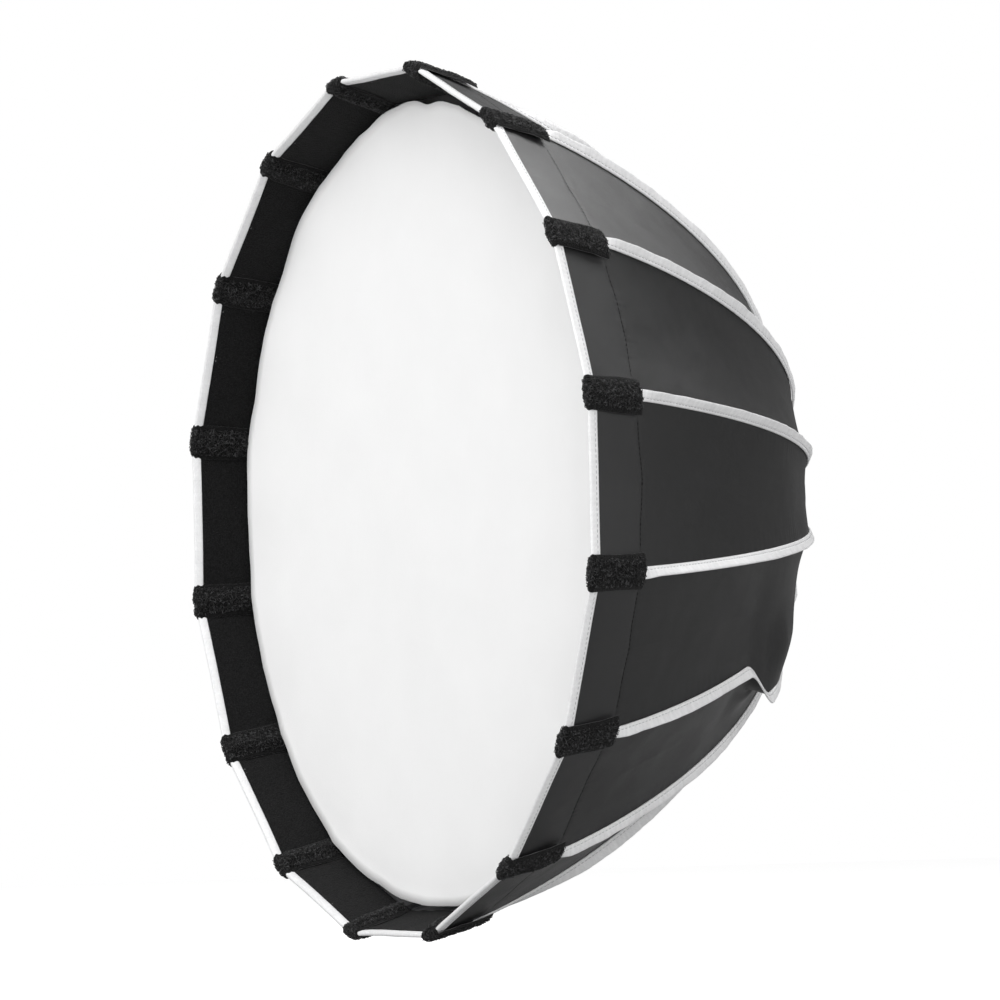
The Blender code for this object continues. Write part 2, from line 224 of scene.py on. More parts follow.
# Cover: sixteen panels of black satin-weave nylon with a silver-coated back, sewn edge to edge over the
# ribs. One strip of it, from mid-panel to mid-panel, is modelled on each rib, in tiers down the rib.
RIM_RADIUS = 300 * MM
DEPTH = 285 * MM
HUB_OPENING_RADIUS = 82 * MM
HUB_OPENING_DEPTH = 8 * MM
RADIUS_POWER = 1.83
DEPTH_POWER = 1.2
COVER_INNER_RADIUS = 95 * MM
CLOTH_THICKNESS = 0.8 * MM
SEAM_DEPTH = 43 * MM
SAG = 2.6 * MM
RIM_SLACK = 0.5 * MM

turn_values = np.radians(np.linspace(0, 89.9, 4000))
curve_radius = HUB_OPENING_RADIUS + (RIM_RADIUS - HUB_OPENING_RADIUS) * (
    np.cos(turn_values) ** (2 / RADIUS_POWER))
curve_y = -DEPTH + (DEPTH - HUB_OPENING_DEPTH) * np.sin(turn_values) ** (2 / DEPTH_POWER)
curve_length = np.concatenate([[0], np.cumsum(np.hypot(np.diff(curve_radius), np.diff(curve_y)))])
curve_slope_r = np.gradient(curve_radius, curve_length)
curve_slope_y = np.gradient(curve_y, curve_length)
COVER_LENGTH = float(np.interp(-COVER_INNER_RADIUS, -curve_radius, curve_length))


def rib_curve(length):
    """(radius, y, the outward normal's radial and axial parts) at a length along the rib from the rim."""
    radius = np.interp(length, curve_length, curve_radius)
    y = np.interp(length, curve_length, curve_y)
    slope_r = np.interp(length, curve_length, curve_slope_r)
    slope_y = np.interp(length, curve_length, curve_slope_y)
    size = np.hypot(slope_r, slope_y)
    return radius, y, slope_y / size, -slope_r / size


def smooth(low, high, value):
    share = np.clip((value - low) / (high - low), 0, 1)
    return share * share * (3 - 2 * share)


def cloth_noise(points, scale, seed):
    """Smooth noise in space, the same on both sides of any cut between pieces."""
    shift = Vector((seed, 0, 0))
    values = [noise.noise(Vector(p) * scale + shift) for p in points.reshape(-1, 3)]
    return np.array(values).reshape(points.shape[:-1])


def seam_wander(rib, across):
    """How far the cross seam strays from a straight line: it bows back between the ribs, and unevenly."""
    share = np.abs(across) / 2
    mid = rib_angle(rib) + np.sign(across) * STEP / 2
    uneven = 1 + np.sin(mid * 5.3 + 0.8)
    return (1.6 + 2.4 * uneven) * MM * 4 * share * (1 - share) + 0.7 * MM * np.cos(TAU * share * 2 + mid * 3)


# One seam, low on the camera's side, has slipped off its rod near the back. Each span is where an effect
# starts, is full, starts to fade and ends, in millimetres along the rib from the rim.
SLACK_RIB = 14
SLACK_DROP = 25 * MM
SLACK_LIFT = 12 * MM
SLACK_SINK = 6.5 * MM
BILLOW = 8 * MM
HOLLOW = 7 * MM
DROP_SPAN = (200, 232, 280, 334)
LIFT_SPAN = (200, 232, 232, 296)
BILLOW_SPAN = (224, 256, 276, 322)
SINK_SPAN = (276, 302, 312, 345)


def within(span, length):
    start, full, fade, end = (place * MM for place in span)
    return smooth(start, full, length) * (1 - smooth(fade, end, length))


def slack_seam(rib, across, length):
    """How far the cloth is off its true shape, on the slack seam and on the two panels that it joins."""
    if abs(rib - SLACK_RIB) > 1:
        return np.zeros(across.shape + (3,))
    if rib == SLACK_RIB:
        side, from_seam, in_panel = across, np.abs(across) / 2, 1.0
    else:
        side, from_seam = np.full_like(across, rib - SLACK_RIB), 1 - np.abs(across) / 2
        in_panel = across * side <= 0
    drop, lift, billow, sunk = (
        within(span, length) * in_panel for span in (DROP_SPAN, LIFT_SPAN, BILLOW_SPAN, SINK_SPAN))
    near = np.where(side > 0, 1 - from_seam, (1 - from_seam) ** 2.2)
    radial, around = rib_axes(SLACK_RIB)
    out = radial + 0.35 * AXIAL
    hollow = -HOLLOW * np.exp(-((from_seam - 0.2) / 0.12) ** 2) * (side < 0)
    bulge = BILLOW * billow * (side > 0) * np.exp(-((from_seam - 0.28) / 0.24) ** 2)
    sink = -SLACK_SINK * sunk * np.exp(-(from_seam / 0.2) ** 2)
    rise = SLACK_LIFT * lift * near + drop * hollow + bulge + sink
    return -around * (SLACK_DROP * drop * near)[..., None] + out * rise[..., None]


def cover_surface(rib, across, length):
    """Points of the cover's outer face: across is 0 on the rib and -1 or 1 at mid-panel."""
    across, length = np.broadcast_arrays(np.asarray(across, float), np.asarray(length, float))
    share = np.abs(across) / 2
    bow = 4 * share * (1 - share)
    slack = RIM_SLACK * bow * np.exp(-length / (35 * MM))
    radius, y, out_r, out_y = rib_curve(length + slack)
    angle = rib_angle(rib)
    mid = angle + np.sign(across) * STEP / 2
    other = angle + np.sign(across) * STEP
    x = radius * ((1 - share) * math.cos(angle) + share * np.cos(other))
    z = radius * ((1 - share) * math.sin(angle) + share * np.sin(other))
    width = 2 * radius * math.sin(STEP / 2)
    from_rib = share * width
    pull = np.sin(TAU * length / (8.5 * MM) + 3 * np.sin(length * 61 + rib * 2.1))
    pull = pull * np.exp(-from_rib / (9 * MM))
    seam_gap = length - SEAM_DEPTH - seam_wander(rib, across)
    pinch = np.exp(-(seam_gap / (1.8 * MM)) ** 2)
    puckers = np.exp(-(seam_gap / (6 * MM)) ** 2) * np.sin(TAU * across * 7 + 5 * np.sin(across * 9 + rib))
    gathers = np.sin(TAU * length / (4.7 * MM)) * np.exp(-from_rib / (20 * MM))
    gathers = gathers * smooth(215 * MM, 260 * MM, length)
    along = length / COVER_LENGTH
    lift = -SAG * bow * (0.15 + 0.85 * smooth(0, 120 * MM, length)) * (1 - 0.55 * smooth(0.8, 1.0, along))
    lift = lift + 0.04 * MM * pull * smooth(6 * MM, 40 * MM, length) - 0.15 * MM * pinch + 0.06 * MM * puckers
    points = np.stack([x, y, z], -1)
    creases = cloth_noise(points * np.array([1, 0.55, 1]), 26, 3.7) * np.minimum(bow * 2, 1)
    lift = lift + (0.4 + 1.0 * smooth(0.55, 1.0, along)) * MM * creases
    lift = lift + 0.08 * MM * gathers * smooth(0.5 * MM, 4 * MM, from_rib)
    lift = lift + 0.10 * MM * cloth_noise(points, 75, 9.1) * np.minimum(bow * 3, 1)
    outward = np.stack(np.broadcast_arrays(out_r * np.cos(mid), out_y, out_r * np.sin(mid)), -1)
    return points + outward * lift[..., None] + slack_seam(rib, across, length)


def surface_normals(rib, across, length):
    """Unit normals of the cover's outer face, the same on both sides of any cut."""
    step = 0.2 * MM
    side = 0.004
    # Mid-panel is where two strips meet, so the step across is taken towards the rib on both.
    along = cover_surface(rib, across, length + step) - cover_surface(rib, across, length - step)
    at_edge = np.abs(across) > 1 - side
    way = np.where(at_edge, np.sign(across), 1.0)
    outer = np.where(at_edge, across, across + side)
    over = cover_surface(rib, outer, length) - cover_surface(rib, across - way * side, length)
    normal = np.cross(over * way[..., None], along)
    normal /= np.linalg.norm(normal, axis=-1, keepdims=True)
    outward = rib_axes(rib)[0] + 0.3 * AXIAL
    facing = np.sign((normal * outward).sum(-1, keepdims=True))
    return normal * np.where(facing == 0, 1, facing)


def grid_quads(rows, columns):
    return [(r * columns + c, r * columns + c + 1, (r + 1) * columns + c + 1, (r + 1) * columns + c)
            for r in range(rows - 1) for c in range(columns - 1)]


def smooth_shaded(mesh, materials):
    for material in materials:
        mesh.materials.append(material)
    mesh.polygons.foreach_set("use_smooth", np.ones(len(mesh.polygons), bool))


def cloth_object(name, outer, inner, uv, materials, normals=None, edge_slot=0):
    """A thin closed cloth from two grids of points, with a material outside and one inside."""
    rows, columns = outer.shape[:2]
    points = np.concatenate([outer.reshape(-1, 3), inner.reshape(-1, 3)])
    below = rows * columns
    faces = []
    slots = []
    for quad in grid_quads(rows, columns):
        faces += [quad, tuple(below + k for k in reversed(quad))]
        slots += [0, 1]
    rim = list(range(columns)) + [r * columns + columns - 1 for r in range(1, rows)]
    rim += [(rows - 1) * columns + c for c in range(columns - 2, -1, -1)]
    rim += [r * columns for r in range(rows - 2, 0, -1)]
    for here, there in zip(rim, rim[1:] + rim[:1]):
        faces.append((there, here, here + below, there + below))
        slots.append(edge_slot)
    mesh = bpy.data.meshes.new(name)
    mesh.from_pydata(points.tolist(), [], faces)
    mesh.polygons.foreach_set("material_index", slots)
    flat_uv = np.concatenate([uv.reshape(-1, 2), uv.reshape(-1, 2)])
    loops = np.empty(len(mesh.loops), np.int32)
    mesh.loops.foreach_get("vertex_index", loops)
    layer = mesh.uv_layers.new(name="cloth")
    layer.data.foreach_set("uv", flat_uv[loops].astype(np.float32).ravel())
    a, b, c = points[list(faces[0][:3])]
    if np.dot(np.cross(b - a, c - a), inner[0, 0] - outer[0, 0]) > 0:
        mesh.flip_normals()
    smooth_shaded(mesh, materials)
    if normals is not None:
        both = np.concatenate([normals.reshape(-1, 3), -normals.reshape(-1, 3)])
        mesh.normals_split_custom_set_from_vertices(both.tolist())
    return add_object(name, mesh)


def weave_group():
    """Crossing threads on a cloth's own map, in metres, with streaks and slow mottling."""
    group, start, end = new_group(
        "woven_threads",
        [("Vector", "Vector", None), ("Threads", "Float", 2600.0), ("Slub", "Float", 0.4)],
        [("Height", "Float"), ("Tone", "Float"), ("Mottle", "Float")],
    )
    place = add_node(group, "ShaderNodeSeparateXYZ", {0: start.outputs["Vector"]})
    turns = math_node(group, "MULTIPLY", start.outputs["Threads"], TAU / 2)
    warp = math_node(group, "SINE", math_node(group, "MULTIPLY", place.outputs["X"], turns))
    weft = math_node(group, "SINE", math_node(group, "MULTIPLY", place.outputs["Y"], turns))
    crossing = math_node(group, "MULTIPLY", warp, weft)
    stretch = add_node(group, "ShaderNodeVectorMath", {0: start.outputs["Vector"], 1: (9.0, 0.35, 1.0)},
                       operation="MULTIPLY")
    streak = noise_node(group, stretch.outputs[0], 140.0, 3.0)
    off_middle = math_node(group, "SUBTRACT", streak, 0.5)
    feed(group, end, {
        "Height": math_node(group, "MULTIPLY_ADD", crossing, 0.5, 0.5),
        "Tone": math_node(group, "MULTIPLY_ADD", off_middle, start.outputs["Slub"], 0.5),
        "Mottle": noise_node(group, start.outputs["Vector"], 22.0, 5.0),
    })
    return group


woven_threads = weave_group()


def cloth_map(tree):
    return add_node(tree, "ShaderNodeUVMap", uv_map="cloth").outputs["UV"]


def threads_on(tree, vector, threads, slub):
    values = {"Vector": vector, "Threads": threads, "Slub": slub}
    return add_node(tree, "ShaderNodeGroup", values, node_tree=woven_threads).outputs


def woven_material(name, dark, light, roughness, sheen, threads, depth, specular, slub=0.4):
    material, tree, shader = new_material(name, dark, roughness, {
        "Sheen Weight": sheen, "Sheen Roughness": 0.45, "Specular IOR Level": specular})
    weave = threads_on(tree, cloth_map(tree), threads, slub)
    tone = math_node(tree, "MULTIPLY_ADD", weave["Mottle"], 0.5, weave["Tone"])
    feed(tree, shader, {
        "Base Color": mix_colour(tree, map_range(tree, tone, 0.5, 1.0), dark, light),
        "Roughness": map_range(tree, weave["Mottle"], 0.3, 0.7, roughness - 0.05, roughness + 0.06),
        "Normal": bump_normal(tree, weave["Height"], depth),
    })
    return material


cover_nylon = woven_material(
    "cover_nylon", (0.005, 0.005, 0.0052), (0.010, 0.010, 0.0104), 0.38, 0.01, 3100.0, 0.00005, 0.42)

# The panel's one cross seam is a fine dark line, and the facing in front of it is cut on the other grain.
tree, shader = cover_nylon.node_tree, cover_nylon.node_tree.nodes["Principled BSDF"]
place = add_node(tree, "ShaderNodeSeparateXYZ", {0: cloth_map(tree)})
wobble = noise_node(tree, cloth_map(tree), 60.0, 2.0)
off_seam = math_node(tree, "SUBTRACT", math_node(tree, "MULTIPLY_ADD", wobble, 0.0008, place.outputs["Y"]),
                     SEAM_DEPTH + 0.4 * MM)
cloth_tone = shader.inputs["Base Color"].links[0].from_socket
facing = mix_colour(
    tree, map_range(tree, off_seam, -0.0003, 0.0003, 1.0, 0.0), cloth_tone, (0.014, 0.014, 0.0145))
line = map_range(tree, math_node(tree, "ABSOLUTE", off_seam), 0.0004, 0.0010, 1.0, 0.0)
feed(tree, shader, {"Base Color": mix_colour(tree, line, facing, (0.002, 0.002, 0.002))})

silver_lining, tree, shader = new_material("silver_lining", (0.72, 0.72, 0.73), 0.36, {"Metallic": 0.85})
foil = threads_on(tree, cloth_map(tree), 1500.0, 0.3)
feed(tree, shader, {
    "Base Color": mix_colour(tree, foil["Tone"], (0.6, 0.6, 0.61), (0.8, 0.8, 0.81)),
    "Roughness": map_range(tree, foil["Mottle"], 0.3, 0.7, 0.3, 0.44),
    "Normal": bump_normal(tree, foil["Height"], 0.00007),
})

FIRST_TIER = 54 * MM
TIER_ENDS = [0.0] + [FIRST_TIER + (COVER_LENGTH - FIRST_TIER) * k / 7 for k in range(8)]
ACROSS_STEPS = 26
across_line = np.linspace(-1, 1, 2 * ACROSS_STEPS + 1)


def shut_with_rib(piece, rib):
    """Puts a piece on its rib, with a mesh of its own."""
    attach(piece, "rib_" + RIB_NUMBERS[rib])
    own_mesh(piece)


for rib, number in enumerate(RIB_NUMBERS):
    for tier in range(len(TIER_ENDS) - 1):
        start, stop = TIER_ENDS[tier], TIER_ENDS[tier + 1]
        rows = max(10, int((stop - start) / (1.6 * MM)))
        grid_length, grid_across = np.meshgrid(np.linspace(start, stop, rows + 1), across_line, indexing="ij")
        outer = cover_surface(rib, grid_across, grid_length)
        normals = surface_normals(rib, grid_across, grid_length)
        inner = outer - normals * CLOTH_THICKNESS
        tangent = rib_axes(rib)[1]
        round_cloth = (outer * tangent).sum(-1) + rib * 0.13
        uv = np.stack([round_cloth, grid_length - seam_wander(rib, grid_across)], -1)
        strip = cloth_object(
            f"cover_{number}_{tier + 1}", outer, inner, uv, [cover_nylon, silver_lining], normals)
        shut_with_rib(strip, rib)
        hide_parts("canopy_gore_" + number)

# Rib tapes: pale satin bias tape folded over each rib's seam and lock-stitched near its fold. The bound
# seam stands a little proud, and leans away from the side panel.
TAPE_START = 34 * MM
TAB_OUT = 46 * MM
TAPE_LEAN = math.radians(42)
STITCH_LENGTH = 2.6 * MM
STITCH_PITCH = 3.4 * MM
THREAD_RADIUS = 0.28 * MM


def strip_frame(rib, across, length):
    """A point on the cover and its outward normal at each length, and the way round the box."""
    point = cover_surface(rib, across, length)
    _, _, out_r, out_y = rib_curve(length)
    radial, around = rib_axes(rib)
    outward = out_r[:, None] * radial + out_y[:, None] * AXIAL
    return point, outward, around


def face_outwards(mesh, flat_ends=False):
    """Turns every face outwards; the last two may be flat ends."""
    work = bmesh.new()
    work.from_mesh(mesh)
    work.faces.ensure_lookup_table()
    for cap in work.faces[-2:] if flat_ends else ():
        cap.smooth = False
        for edge in cap.edges:
            edge.smooth = False
    bmesh.ops.recalc_face_normals(work, faces=work.faces)
    work.to_mesh(mesh)
    work.free()


def swept_object(name, rings, along, materials):
    """A closed bar through rings of points, with its map in metres."""
    rows, columns = rings.shape[:2]
    faces = []
    for r in range(rows - 1):
        for c in range(columns):
            a, b = r * columns + c, r * columns + (c + 1) % columns
            faces.append((a, b, b + columns, a + columns))
    faces.append(tuple(range(columns - 1, -1, -1)))
    faces.append(tuple(range((rows - 1) * columns, rows * columns)))
    girth = np.concatenate([[0], np.cumsum(np.linalg.norm(np.diff(rings[0], axis=0), axis=-1))])
    mesh = bpy.data.meshes.new(name)
    mesh.from_pydata(rings.reshape(-1, 3).tolist(), [], faces)
    layer = mesh.uv_layers.new(name="cloth")
    for corner in mesh.loops:
        row, column = divmod(corner.vertex_index, columns)
        layer.data[corner.index].uv = (girth[column], along[row])
    smooth_shaded(mesh, materials)
    face_outwards(mesh, flat_ends=True)
    return add_object(name, mesh)


def satin_tape_material(name, dark, light, roughness):
    """Bias tape: a glossy weave cut on the diagonal, with faint gathers across it, painted darker in their
    troughs and lighter on their crests.
    """
    material, tree, shader = new_material(name, light, roughness, {
        "Sheen Weight": 0.25, "Specular IOR Level": 0.55})
    turn = add_node(tree, "ShaderNodeMapping", {
        "Vector": cloth_map(tree), "Rotation": (0, 0, math.radians(45))})
    weave = threads_on(tree, turn.outputs[0], 2400.0, 0.35)
    gathers = add_node(tree, "ShaderNodeMapping", {"Vector": cloth_map(tree), "Scale": (0.12, 1.0, 1.0)})
    ripple = noise_node(tree, gathers.outputs[0], 420.0, 2.0)
    # Colour rises with the gathers' ripple: painted shade in the troughs and painted highlight on the crests,
    # while the weave streaks are the tape's own tone.
    tone = math_node(tree, "MULTIPLY_ADD", ripple, 0.5, weave["Tone"])
    fine = bump_normal(tree, weave["Height"], 0.00005)
    feed(tree, shader, {
        "Base Color": mix_colour(tree, map_range(tree, tone, 0.55, 1.0), dark, light),
        "Roughness": map_range(tree, weave["Mottle"], 0.3, 0.7, roughness - 0.08, roughness + 0.08),
        "Normal": bump_normal(tree, ripple, 0.00012, {"Normal": fine}),
    })
    return material


rib_tape_satin = satin_tape_material("rib_tape_satin", (0.62, 0.62, 0.625), (0.84, 0.84, 0.845), 0.42)
thread_black = new_material("seam_thread", (0.002, 0.002, 0.002), 0.8, {"Specular IOR Level": 0.1})[0]
thread_grey = grained_material("binding_thread", (0.42, 0.42, 0.43), (0.52, 0.52, 0.53), 0.55, 3000.0)

# The bound seam's section: (how far up from its root, how far through it), round its outline.
TAPE_SECTION = [
    (-0.9, -0.3), (-0.8, 0.5), (0.0, 0.85), (0.9, 0.8), (1.5, 0.45), (2.1, 0.8), (3.2, 0.85), (5.2, 0.75),
    (6.7, 0.85), (7.2, 0.5), (7.3, 0.0), (7.1, -0.5), (6.2, -0.7), (3.6, -0.6), (1.5, -0.6)]


def grow_on(obj, tree, values):
    """Replaces an object's mesh with what a geometry node tree makes of it, given the tree's inputs."""
    modifier = obj.modifiers.new("grown", "NODES")
    modifier.node_group = tree
    sockets = {item.name: item.identifier for item in tree.interface.items_tree if item.in_out == "INPUT"}
    for label, value in values.items():
        modifier[sockets[label]] = value
    made = bpy.data.meshes.new_from_object(obj.evaluated_get(bpy.context.evaluated_depsgraph_get()))
    obj.modifiers.clear()
    obj.data = made
    made.name = obj.name
    return obj


def painted(tree, end, last, given):
    values = {"Geometry": last.outputs[0], "Material": given["Material"]}
    feed(tree, end, {0: add_node(tree, "GeometryNodeSetMaterial", values).outputs[0]})
    return tree


def stitch_nodes():
    """Thread capsules along a curve at the stitch pitch, each turned to the curve and its outward side."""
    tree, start, end = new_group(
        "stitch_row",
        [("Geometry", "Geometry", None), ("Pitch", "Float", STITCH_PITCH), ("Length", "Float", STITCH_LENGTH),
         ("Thread", "Float", THREAD_RADIUS), ("Material", "Material", None)],
        [("Geometry", "Geometry")], "GeometryNodeTree")
    given = start.outputs
    curve = add_node(tree, "GeometryNodeMeshToCurve", {"Mesh": given["Geometry"]})
    spaced = add_node(tree, "GeometryNodeResampleCurve", {
        "Curve": curve.outputs[0], "Length": given["Pitch"]}, mode="LENGTH")
    tangent = add_node(tree, "GeometryNodeInputTangent")
    side = add_node(tree, "GeometryNodeInputNamedAttribute", {"Name": "outward"}, data_type="FLOAT_VECTOR")
    turn = add_node(tree, "FunctionNodeAlignRotationToVector", {"Vector": tangent.outputs[0]}, axis="X")
    roll = add_node(tree, "FunctionNodeAlignRotationToVector", {
        "Rotation": turn.outputs[0], "Vector": side.outputs["Attribute"]}, axis="Z", pivot_axis="X")
    stitch = add_node(tree, "GeometryNodeMeshUVSphere", {"Segments": 6, "Rings": 4, "Radius": 1.0})
    half = math_node(tree, "MULTIPLY", given["Length"], 0.5)
    size = add_node(tree, "ShaderNodeCombineXYZ", {"X": half, "Y": given["Thread"], "Z": given["Thread"]})
    stretched = add_node(tree, "GeometryNodeTransform", {
        "Geometry": stitch.outputs["Mesh"], "Scale": size.outputs[0]})
    copies = add_node(tree, "GeometryNodeInstanceOnPoints", {
        "Points": spaced.outputs["Curve"], "Instance": stretched.outputs[0], "Rotation": roll.outputs[0]})
    real = add_node(tree, "GeometryNodeRealizeInstances", {0: copies.outputs[0]})
    smoothed = add_node(tree, "GeometryNodeSetShadeSmooth", {0: real.outputs[0]})
    return painted(tree, end, smoothed, given)


stitch_tree = stitch_nodes()


def stitch_row(name, path, normals, material, length=STITCH_LENGTH, pitch=STITCH_PITCH):
    """A row of lock stitches: short thread capsules laid end to end along a path."""
    mesh = bpy.data.meshes.new(name + "_path")
    mesh.from_pydata(path.tolist(), [(k, k + 1) for k in range(len(path) - 1)], [])
    outward = mesh.attributes.new("outward", "FLOAT_VECTOR", "POINT")
    outward.data.foreach_set("vector", np.asarray(normals, np.float32).ravel())
    return grow_on(add_object(name, mesh), stitch_tree, {
        "Pitch": pitch, "Length": length, "Thread": THREAD_RADIUS, "Material": material})


for rib, number in enumerate(RIB_NUMBERS):
    lengths = np.linspace(TAPE_START, COVER_LENGTH - 1 * MM, 230)
    point, outward, around = strip_frame(rib, 0.0, lengths)
    lean_side = math.copysign(1.0, math.sin(rib_angle(rib)) * math.cos(rib_angle(rib)))
    wander = np.array([noise.noise(Vector((length * 17, rib * 7.3, 0.5))) for length in lengths])
    flutter = np.array([noise.noise(Vector((length * 70, rib * 3.1, 4.5))) for length in lengths])
    upright = abs(math.sin(rib_angle(rib))) > 0.9
    tucked = smooth(TAB_OUT - 4 * MM, TAB_OUT + (14 + 95 * upright) * MM, lengths)
    tucked = tucked * (1 - smooth(COVER_LENGTH - 22 * MM, COVER_LENGTH, lengths))
    rear = smooth(210 * MM, 300 * MM, lengths)
    lean = TAPE_LEAN + 0.5 * upright - 0.35 * rear * (1 - upright)
    lean = lean + (0.26 - 0.11 * upright) * wander + (0.09 - 0.03 * upright) * flutter
    lean = 0.04 + tucked * lean
    wide = 1 + 0.10 * upright * tucked - 0.12 * rear
    wide = wide + (0.06 - 0.01 * upright) * flutter + (0.06 - 0.02 * upright) * wander
    gathered = upright * tucked * smooth(70 * MM, 130 * MM, lengths) * np.sin(TAU * lengths / (6.2 * MM))

    def off_seam_line(up, through):
        """How far round and how far out a point of the section is, from the rib's line."""
        return (-1.2 + up * np.cos(lean) - through * np.sin(lean),
                0.55 + up * np.sin(lean) + through * np.cos(lean))

    rings = []
    for up, through in TAPE_SECTION:
        up = up * np.where(up > 2, wide, 1)
        reach, rise = off_seam_line(up, through)
        rise = rise - 0.2 * np.abs(reach) * (1 - tucked)
        crimp = 0.02 * np.sin(lengths / (2.1 * MM) + up) * (up > 1.8)
        reach = reach + 0.32 * gathered * (up > 1.8)
        rise = rise + crimp
        rings.append(point + around * (lean_side * reach * MM)[:, None] + outward * (rise * MM)[:, None])
    rings = np.stack(rings, 1)
    tape = swept_object("rib_tape_" + number, rings, lengths, [rib_tape_satin])
    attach(tape, "rib_" + number)
    reach, rise = off_seam_line(1.5, 0.6)
    groove = point + around * (lean_side * reach * MM)[:, None] + outward * (rise * MM)[:, None]
    stitches = stitch_row("rib_tape_stitches_" + number, groove[4:-3], outward[4:-3], thread_grey)
    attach(stitches, "rib_" + number)

# Rim binding and loop band: the rim's edge is bound in the same tape, ironed flat and white, and a wide
# band of black loop fabric is sewn inside it, which the front diffuser grips.
BINDING_OUT = 5.6 * MM
BINDING_IN = 8.5 * MM
BAND_START = 5 * MM
BAND_END = 44 * MM

binding_satin = satin_tape_material("binding_satin", (0.66, 0.66, 0.665), (0.84, 0.84, 0.845), 0.45)


def loop_material(name, colour, lit_tip, depth, sheen, scale):
    """Black loop pile: tangled fine curls, with painted shade in their hollows and painted highlights on
    their tips.
    """
    material, tree, shader = new_material(name, colour, 0.92, {
        "Sheen Weight": sheen, "Sheen Roughness": 0.5, "Specular IOR Level": 0.2})
    vector = object_coordinates(tree)
    warp = add_node(tree, "ShaderNodeTexNoise", {"Vector": vector, "Scale": scale * 0.8})
    moved = add_node(tree, "ShaderNodeVectorMath", {
        0: warp.outputs["Color"], 1: (0.0012, 0.0012, 0.0012), 2: vector}, operation="MULTIPLY_ADD")
    curls = add_node(tree, "ShaderNodeTexVoronoi", {
        "Vector": moved.outputs[0], "Scale": scale, "Randomness": 1.0})
    height = math_node(tree, "SUBTRACT", 1.0, curls.outputs["Distance"])
    # The colour follows the curls' relief: painted shade in the hollows, painted highlight on the tips.
    feed(tree, shader, {
        "Base Color": mix_colour(tree, map_range(tree, height, 0.35, 0.95), colour, lit_tip),
        "Normal": bump_normal(tree, height, depth),
    })
    return material


# The band's second colour is the painted highlight on its curls' tips.
band_loop = loop_material("band_loop", (0.0014, 0.0014, 0.0015), (0.012, 0.012, 0.0125), 0.0006, 0.03, 1100.0)


def inside_depth(rib, across, length):
    """How far the loop band stands in from the cover: deepest over the rod's end."""
    radius = rib_curve(length)[0]
    off_rib = np.abs(across) * radius * math.sin(STEP / 2)
    return (2.4 + 4.6 * np.exp(-(off_rib / (6 * MM)) ** 2)) * MM


# The binding's section, outside face, rim and inside face: (metres back from the rim, millimetres out).
GROOVE_OUT = BINDING_OUT * 0.67
GROOVE_IN = BINDING_IN * 0.74
BINDING_SECTION = [
    (BINDING_OUT, 0.05), (BINDING_OUT + 0.1 * MM, 0.75), (BINDING_OUT * 0.8, 0.95), (GROOVE_OUT, 0.7),
    (BINDING_OUT * 0.55, 0.95), (0.0, 1.0), (-0.8 * MM, 0.5), (-1.0 * MM, -0.4), (-0.8 * MM, -1.5),
    (0.0, -2.1), (BINDING_IN * 0.35, -2.35), (BINDING_IN * 0.68, -2.2), (GROOVE_IN, -1.95),
    (BINDING_IN * 0.8, -2.2), (BINDING_IN - 0.1 * MM, -2.3), (BINDING_IN, -1.7), (BINDING_IN * 0.9, -1.2),
    (1.0 * MM, -1.0), (0.6 * MM, 0.0), (1.2 * MM, 0.05)]


def resampled(line, count=120):
    return np.stack([np.interp(np.linspace(0, 1, count), np.linspace(0, 1, len(line)), line[:, k])
                     for k in range(3)], 1)


for rib, number in enumerate(RIB_NUMBERS):
    outer = cover_surface(rib, across_line, np.zeros_like(across_line))
    edge_normal = surface_normals(rib, across_line, np.full_like(across_line, 1.5 * MM))
    into = cover_surface(rib, across_line, np.full_like(across_line, 3 * MM)) - outer
    into /= np.linalg.norm(into, axis=-1, keepdims=True)
    rings = np.stack([outer + into * back + edge_normal * out * MM for back, out in BINDING_SECTION], 1)
    tangent = rib_axes(rib)[1]
    along = (outer * tangent).sum(-1)
    along = along.max() - np.abs(along)
    binding = swept_object("rim_binding_" + number, rings, along, [binding_satin])
    shut_with_rib(binding, rib)
    for side, groove, out, face in (("in", GROOVE_IN, -2.2, -1), ("out", GROOVE_OUT, 0.85, 1)):
        line = resampled(outer + into * groove + edge_normal * out * MM)
        row = stitch_row(f"rim_binding_stitches_{side}_{number}", line, resampled(edge_normal) * face,
                         thread_grey)
        shut_with_rib(row, rib)

    grid_length, grid_across = np.meshgrid(np.linspace(BAND_START, BAND_END, 30), across_line, indexing="ij")
    face = cover_surface(rib, grid_across, grid_length)
    normals = surface_normals(rib, grid_across, grid_length)
    ripple = cloth_noise(face, 90, 5.5)[..., None] * 0.5 * MM
    hidden = face - normals * (inside_depth(rib, grid_across, grid_length)[..., None] - 0.9 * MM + ripple)
    shown = hidden - normals * 1.1 * MM
    uv = np.stack([(face * tangent).sum(-1), grid_length], -1)
    band = cloth_object("loop_band_" + number, shown, hidden, uv, [band_loop, band_loop], -normals)
    shut_with_rib(band, rib)

# Cross-seam stitching: one row of black thread round the cover, where the front facing joins the panels.
for rib, number in enumerate(RIB_NUMBERS):
    seam_across = np.concatenate([np.linspace(-0.998, -0.30, 90), np.linspace(0.30, 0.998, 90)])
    seam_length = SEAM_DEPTH + seam_wander(rib, seam_across)
    seam = cover_surface(rib, seam_across, seam_length)
    seam_normal = surface_normals(rib, seam_across, seam_length)
    for half, part in (("a", slice(0, 90)), ("b", slice(90, 180))):
        row = stitch_row(f"cross_seam_{number}_{half}", seam[part] - seam_normal[part] * 0.05 * MM,
                         seam_normal[part], thread_black, 2.9 * MM, 3.1 * MM)
        shut_with_rib(row, rib)

# Tabs: black hook-and-loop straps, sewn inside the band, brought over the rim's corners and pressed down
# outside. Under each is the pocket that holds a rod's end.
TAB_WIDTH = 24 * MM
TAB_IN = 43 * MM
TAB_THICK = 1.3 * MM
CURLS_PER_TAB = 1400
CURL_SIZE = 1.9 * MM
